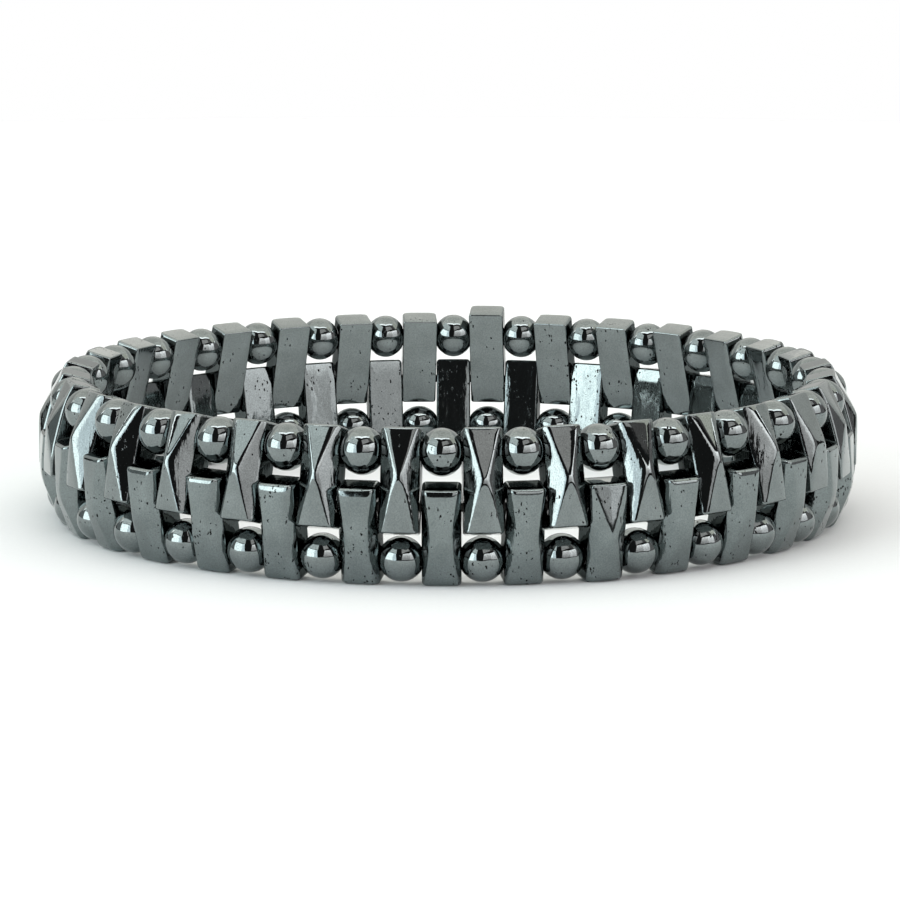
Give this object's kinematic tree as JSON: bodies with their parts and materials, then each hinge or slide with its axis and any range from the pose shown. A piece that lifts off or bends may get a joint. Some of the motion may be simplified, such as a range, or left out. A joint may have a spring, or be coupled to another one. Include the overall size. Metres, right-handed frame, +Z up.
{
  "type": "beaded stretch bracelet",
  "caption": "Three-row stretch bracelet of polished hematite: tall pyramid-cut two-hole beads in staggered rows with round beads between, on elastic cords.",
  "frame": {"origin": "on the loop's axis, at the height of the surface that the bracelet rests on", "axes": "+Z up along the loop's axis, -Y towards the pictured side, +X to its right"},
  "size_m": [0.0696, 0.0696, 0.0132],
  "materials": {
    "polished_hematite": "tumble-polished, metallic dark grey",
    "elastic_cord": "matt"
  },
  "bodies": {
    "root": {"upper_long_bead_01": "polished_hematite", "upper_long_bead_02": "polished_hematite", "upper_long_bead_03": "polished_hematite", "upper_long_bead_04": "polished_hematite", "upper_long_bead_05": "polished_hematite", "upper_long_bead_06": "polished_hematite", "upper_long_bead_07": "polished_hematite", "upper_long_bead_08": "polished_hematite", "upper_long_bead_09": "polished_hematite", "upper_long_bead_10": "polished_hematite", "upper_long_bead_11": "polished_hematite", "upper_long_bead_12": "polished_hematite", "upper_long_bead_13": "polished_hematite", "upper_long_bead_14": "polished_hematite", "upper_long_bead_15": "polished_hematite", "upper_long_bead_16": "polished_hematite", "upper_long_bead_17": "polished_hematite", "upper_long_bead_18": "polished_hematite", "upper_long_bead_19": "polished_hematite", "upper_long_bead_20": "polished_hematite", "upper_long_bead_21": "polished_hematite", "upper_long_bead_22": "polished_hematite", "upper_long_bead_23": "polished_hematite", "upper_long_bead_24": "polished_hematite", "upper_long_bead_25": "polished_hematite", "upper_long_bead_26": "polished_hematite", "upper_long_bead_27": "polished_hematite", "upper_long_bead_28": "polished_hematite", "upper_long_bead_29": "polished_hematite", "upper_long_bead_30": "polished_hematite", "upper_long_bead_31": "polished_hematite", "upper_long_bead_32": "polished_hematite", "lower_long_beads": "polished_hematite", "upper_round_beads": "polished_hematite", "lower_round_beads": "polished_hematite", "upper_cord": "elastic_cord", "middle_cord": "elastic_cord", "lower_cord": "elastic_cord"}
  },
  "joints": []
}
